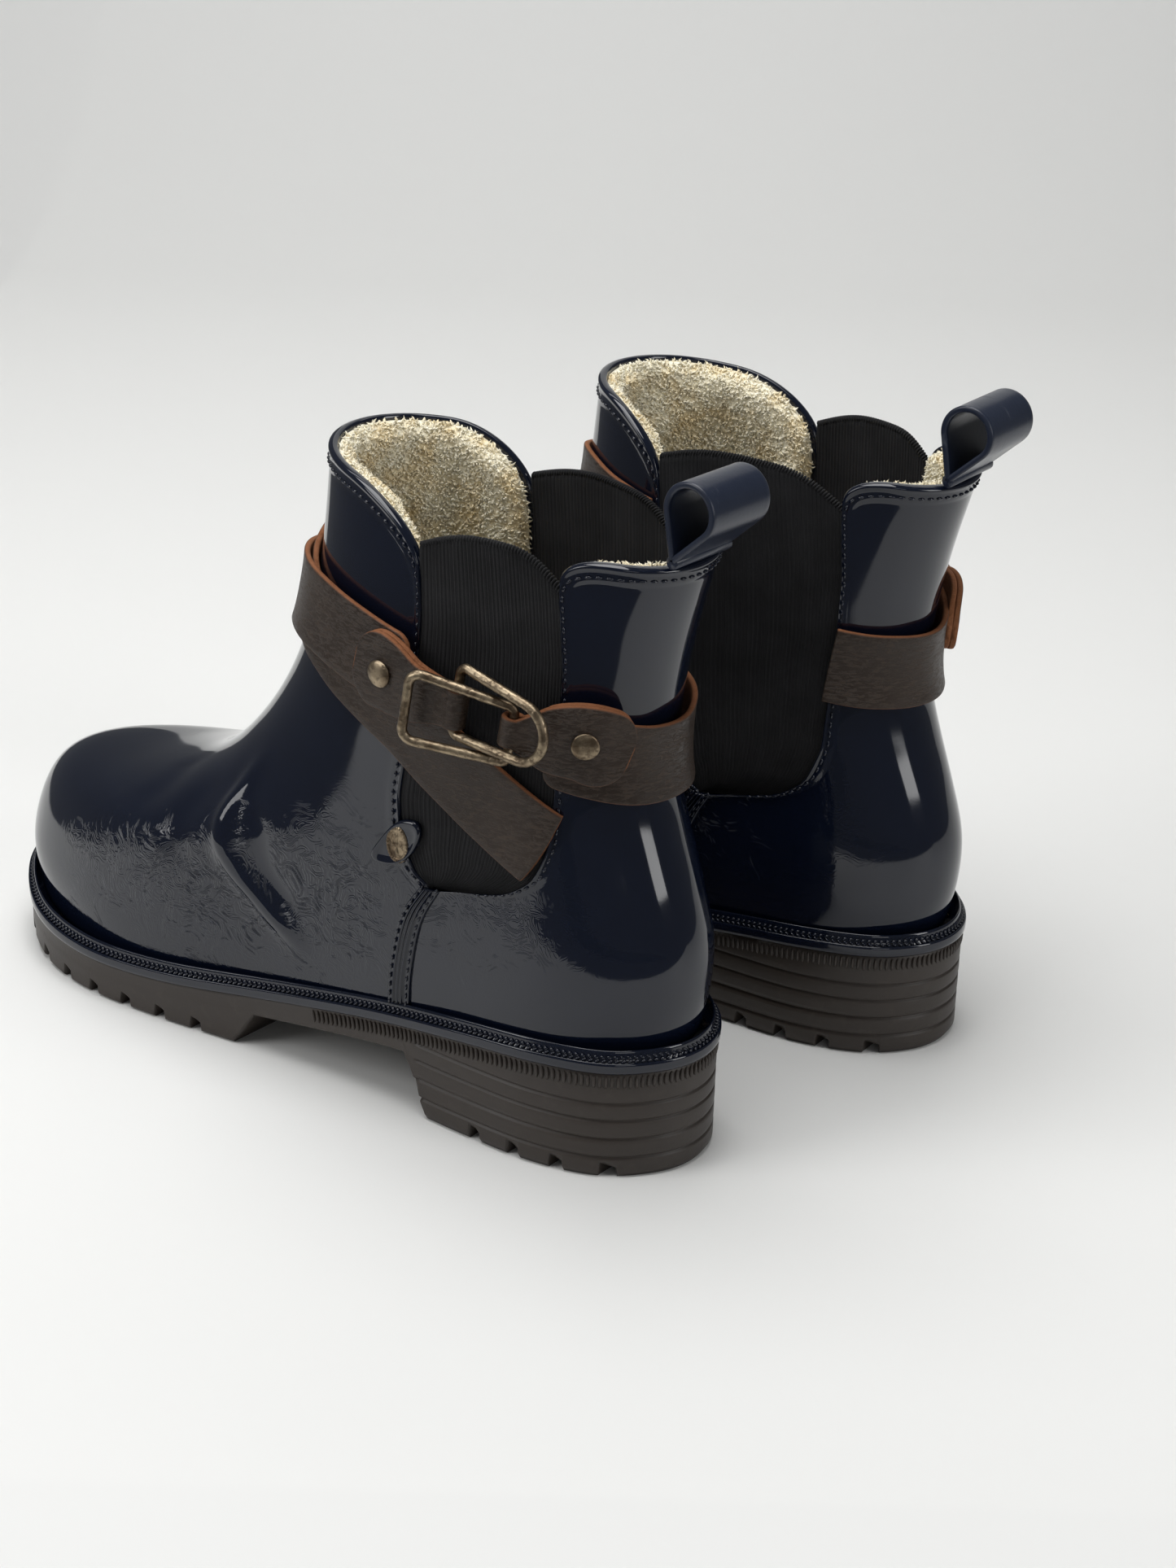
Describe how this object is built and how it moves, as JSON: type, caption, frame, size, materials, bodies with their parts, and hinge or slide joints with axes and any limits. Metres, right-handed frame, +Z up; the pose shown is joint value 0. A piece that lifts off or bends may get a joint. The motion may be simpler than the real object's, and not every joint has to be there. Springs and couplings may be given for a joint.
{
  "type": "pair of lined ankle deck boots",
  "caption": "Pair of gloss waterproof ankle deck boots with elastic gores, fleece lining, leather straps, a linked buckle, a pull loop and a lugged block-heel sole.",
  "frame": {"origin": "on the ground, at the middle of the pair's bounding box", "axes": "+X towards the left boot's toe, +Y towards the left boot's outer side, +Z up"},
  "size_m": [0.2928, 0.203, 0.2086],
  "materials": {
    "gloss_navy": "high gloss moulded shell",
    "satin_navy": "satin moulded band",
    "sole_rubber": "matte",
    "elastic": "ribbed elastic webbing",
    "fleece": "deep pile",
    "strap_leather": "oiled, raw edges",
    "board": "fibre board",
    "antique_brass": "antique, hammered"
  },
  "bodies": {
    "left_boot": {"left_outsole": "sole_rubber", "left_welt": "gloss_navy", "left_insole_board": "board", "left_footbed": "fleece", "left_front_upper": "gloss_navy", "left_back_upper": "gloss_navy", "left_gore_outer": "elastic", "left_gore_inner": "elastic", "left_side_seam_outer": "gloss_navy", "left_side_seam_inner": "gloss_navy", "left_lining_front": "fleece", "left_lining_back": "fleece", "left_strap_front": "strap_leather", "left_strap_cross": "strap_leather", "left_strap_back": "strap_leather", "left_tab_front": "strap_leather", "left_tab_back": "strap_leather", "left_rivet_front": "antique_brass", "left_rivet_back": "antique_brass", "left_washer_front": "antique_brass", "left_washer_back": "antique_brass", "left_emblem_tab": "gloss_navy", "left_emblem": "antique_brass"},
    "left_pull_loop": {"left_pull_loop": "satin_navy"},
    "left_link_front": {"left_link_front": "antique_brass"},
    "left_link_back": {"left_link_back": "antique_brass"},
    "right_boot": {"right_outsole": "sole_rubber", "right_welt": "gloss_navy", "right_insole_board": "board", "right_footbed": "fleece", "right_front_upper": "gloss_navy", "right_back_upper": "gloss_navy", "right_gore_outer": "elastic", "right_gore_inner": "elastic", "right_side_seam_outer": "gloss_navy", "right_side_seam_inner": "gloss_navy", "right_lining_front": "fleece", "right_lining_back": "fleece", "right_strap_front": "strap_leather", "right_strap_cross": "strap_leather", "right_strap_back": "strap_leather", "right_tab_front": "strap_leather", "right_tab_back": "strap_leather", "right_rivet_front": "antique_brass", "right_rivet_back": "antique_brass", "right_washer_front": "antique_brass", "right_washer_back": "antique_brass", "right_emblem_tab": "gloss_navy", "right_emblem": "antique_brass"},
    "right_pull_loop": {"right_pull_loop": "satin_navy"},
    "right_link_front": {"right_link_front": "antique_brass"},
    "right_link_back": {"right_link_back": "antique_brass"}
  },
  "joints": [
    {"name": "right_boot_lift", "type": "slide", "parent": "left_boot", "child": "right_boot", "axis": [0, 0, 1], "range_m": [0, 0.15]},
    {"name": "left_link_front_swing", "type": "hinge", "parent": "left_boot", "child": "left_link_front", "pos_m": [-0.08383, 0.08691, 0.13385], "axis": [-0.1504, -0.0326, 0.9881], "range_deg": [0, 50]},
    {"name": "left_link_back_swing", "type": "hinge", "parent": "left_boot", "child": "left_link_back", "pos_m": [-0.06645, 0.09068, 0.13662], "axis": [0.1504, 0.0326, -0.9881], "range_deg": [0, 50]},
    {"name": "left_pull_loop_bend", "type": "hinge", "parent": "left_boot", "child": "left_pull_loop", "pos_m": [-0.11988, 0.0533, 0.18512], "axis": [0, 1, 0], "range_deg": [-20, 20], "stiffness_Nm_per_rad": 0.05},
    {"name": "right_link_front_swing", "type": "hinge", "parent": "right_boot", "child": "right_link_front", "pos_m": [-0.09419, -0.08968, 0.13385], "axis": [0.1523, -0.022, -0.9881], "range_deg": [0, 50]},
    {"name": "right_link_back_swing", "type": "hinge", "parent": "right_boot", "child": "right_link_back", "pos_m": [-0.07659, -0.09222, 0.13662], "axis": [-0.1523, 0.022, 0.9881], "range_deg": [0, 50]},
    {"name": "right_pull_loop_bend", "type": "hinge", "parent": "right_boot", "child": "right_pull_loop", "pos_m": [-0.1325, -0.05866, 0.18512], "axis": [-0.0698, 0.9976, 0], "range_deg": [-20, 20], "stiffness_Nm_per_rad": 0.05}
  ]
}
